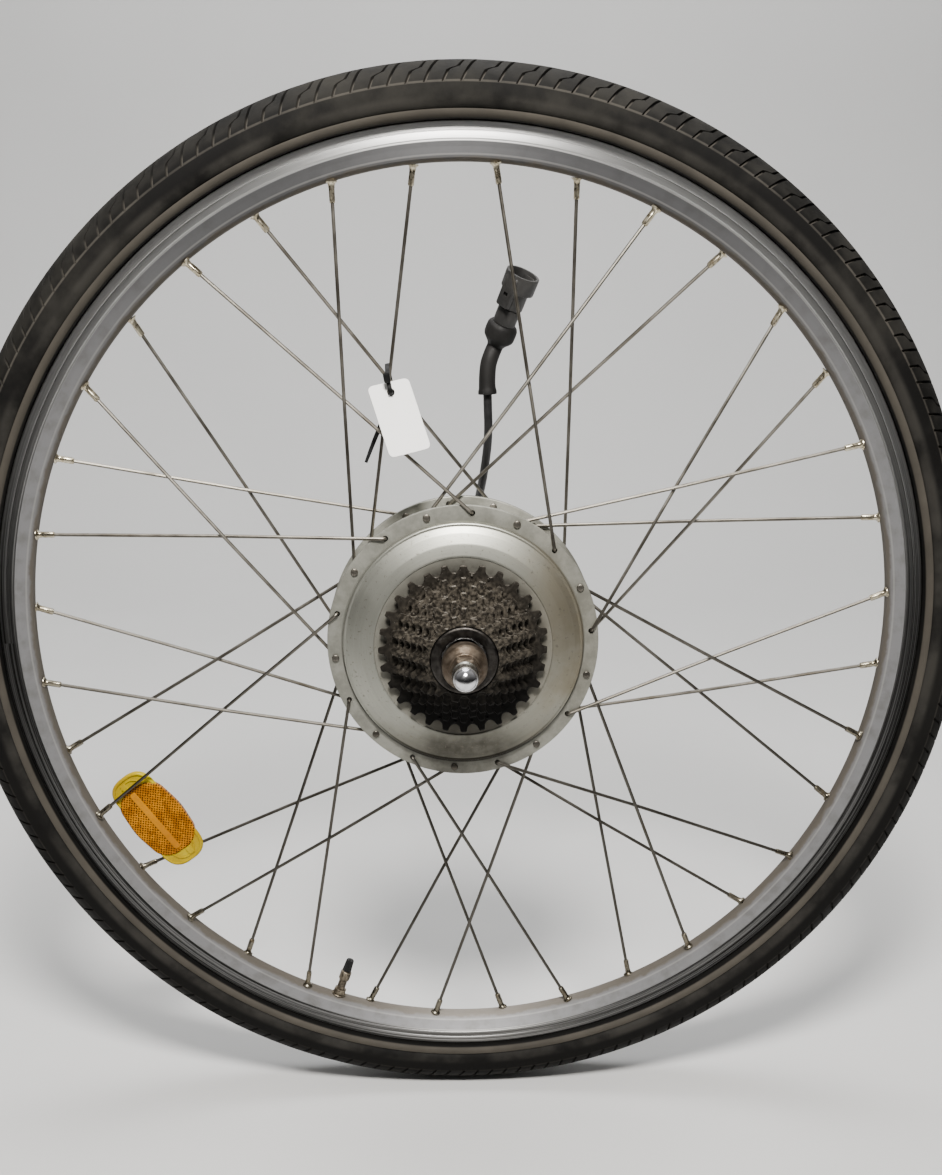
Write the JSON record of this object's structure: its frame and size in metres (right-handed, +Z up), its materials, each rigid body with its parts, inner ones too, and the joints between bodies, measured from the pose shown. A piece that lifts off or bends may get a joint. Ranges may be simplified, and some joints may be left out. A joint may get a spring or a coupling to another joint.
{
  "type": "hub motor wheel",
  "caption": "Spoked bicycle wheel with a geared motor in its hub, a freewheel with stacked sprockets, a pneumatic tyre, a reflector, and a short motor cable with a round plug.",
  "frame": {"origin": "on the axle's centreline, in the middle plane of the rim", "axes": "+Y along the axle towards the cable side, so the sprockets face -Y; +Z up"},
  "size_m": [0.708, 0.2447, 0.708],
  "materials": {
    "tyre_rubber": "worn matt rubber with slanted shoulder tread",
    "tube_butyl": "matt",
    "rim_aluminium": "machined brake track over silver anodising, dusty",
    "valve_brass": "tarnished",
    "black_plastic": "matt",
    "hub_aluminium": "satin painted casting with grime",
    "bearing_steel": "ground",
    "spoke_steel": "drawn stainless wire, dull",
    "plated_steel": "zinc plated, worn",
    "sprocket_steel": "blackened, with chain grease",
    "stator_iron": "stacked sheet",
    "copper_windings": "enamelled copper wire",
    "rotor_steel": "turned",
    "magnet_plating": "nickel plated",
    "gear_steel": "cut, oiled",
    "gear_nylon": "moulded, greased",
    "axle_steel": "turned and threaded",
    "rusty_steel": "brown rust over plating",
    "dome_chrome": "polished, scratched",
    "cable_jacket": "matt",
    "boot_rubber": "moulded, matt",
    "connector_plastic": "moulded",
    "reflector_amber": "prismatic amber",
    "tag_card": "matt card",
    "tie_nylon": "moulded nylon"
  },
  "bodies": {
    "axle_assembly": {"axle": "axle_steel", "drive_locknut": "plated_steel", "left_locknut": "plated_steel", "drive_axle_nut": "rusty_steel", "axle_dome_cap": "dome_chrome", "torque_washer": "plated_steel", "left_axle_nut": "plated_steel", "stator_core": "stator_iron", "stator_windings": "copper_windings", "planet_carrier": "gear_steel", "overrunning_clutch": "gear_steel", "motor_cable": "cable_jacket", "connector_boot": "boot_rubber", "connector_body": "connector_plastic"},
    "wheel": {"tyre": "tyre_rubber", "inner_tube": "tube_butyl", "rim": "rim_aluminium", "valve_stem": "valve_brass", "valve_cap": "black_plastic", "hub_shell": "hub_aluminium", "drive_cover": "hub_aluminium", "ring_gear": "gear_steel", "drive_bearing": "bearing_steel", "left_bearing": "bearing_steel", "freewheel_core": "plated_steel", "reflector": "reflector_amber", "label_tag": "tag_card", "cable_tie": "tie_nylon", "crossed_spokes_drive_1": "spoke_steel", "crossed_spokes_drive_2": "spoke_steel", "crossed_spokes_drive_3": "spoke_steel", "crossed_spokes_drive_4": "spoke_steel", "crossed_spokes_drive_5": "spoke_steel", "crossed_spokes_drive_6": "spoke_steel", "crossed_spokes_drive_7": "spoke_steel", "crossed_spokes_drive_8": "spoke_steel", "crossed_spokes_drive_9": "spoke_steel", "crossed_spokes_left_1": "spoke_steel", "crossed_spokes_left_2": "spoke_steel", "crossed_spokes_left_3": "spoke_steel", "crossed_spokes_left_4": "spoke_steel", "crossed_spokes_left_5": "spoke_steel", "crossed_spokes_left_6": "spoke_steel", "crossed_spokes_left_7": "spoke_steel", "crossed_spokes_left_8": "spoke_steel", "crossed_spokes_left_9": "spoke_steel"},
    "freewheel": {"freewheel_body": "sprocket_steel", "cog_28": "sprocket_steel", "cog_24": "sprocket_steel", "cog_22": "sprocket_steel", "cog_20": "sprocket_steel", "cog_18": "sprocket_steel", "cog_16": "sprocket_steel", "cog_14": "sprocket_steel"},
    "rotor": {"rotor_cup": "rotor_steel", "rotor_magnets": "magnet_plating", "sun_gear": "gear_steel"},
    "planet_1": {"planet_gear_1": "gear_nylon"},
    "planet_2": {"planet_gear_2": "gear_nylon"},
    "planet_3": {"planet_gear_3": "gear_nylon"}
  },
  "joints": [
    {"name": "wheel_spin", "type": "hinge", "parent": "axle_assembly", "child": "wheel", "pos_m": [0, 0, 0], "axis": [0, 1, 0], "continuous": true},
    {"name": "freewheel_spin", "type": "hinge", "parent": "wheel", "child": "freewheel", "pos_m": [0, 0, 0], "axis": [0, 1, 0], "continuous": true},
    {"name": "rotor_spin", "type": "hinge", "parent": "axle_assembly", "child": "rotor", "pos_m": [0, 0, 0], "axis": [0, 1, 0], "continuous": true},
    {"name": "planet_1_spin", "type": "hinge", "parent": "axle_assembly", "child": "planet_1", "pos_m": [0.03, 0, 0], "axis": [0, 1, 0], "continuous": true},
    {"name": "planet_2_spin", "type": "hinge", "parent": "axle_assembly", "child": "planet_2", "pos_m": [-0.015, 0, 0.02598], "axis": [0, 1, 0], "continuous": true},
    {"name": "planet_3_spin", "type": "hinge", "parent": "axle_assembly", "child": "planet_3", "pos_m": [-0.015, 0, -0.02598], "axis": [0, 1, 0], "continuous": true}
  ],
  "couplings": [
    {"joint": "rotor_spin", "follows": "wheel_spin", "ratio": -4},
    {"joint": "planet_1_spin", "follows": "wheel_spin", "ratio": 2.6667},
    {"joint": "planet_2_spin", "follows": "wheel_spin", "ratio": 2.6667},
    {"joint": "planet_3_spin", "follows": "wheel_spin", "ratio": 2.6667}
  ]
}
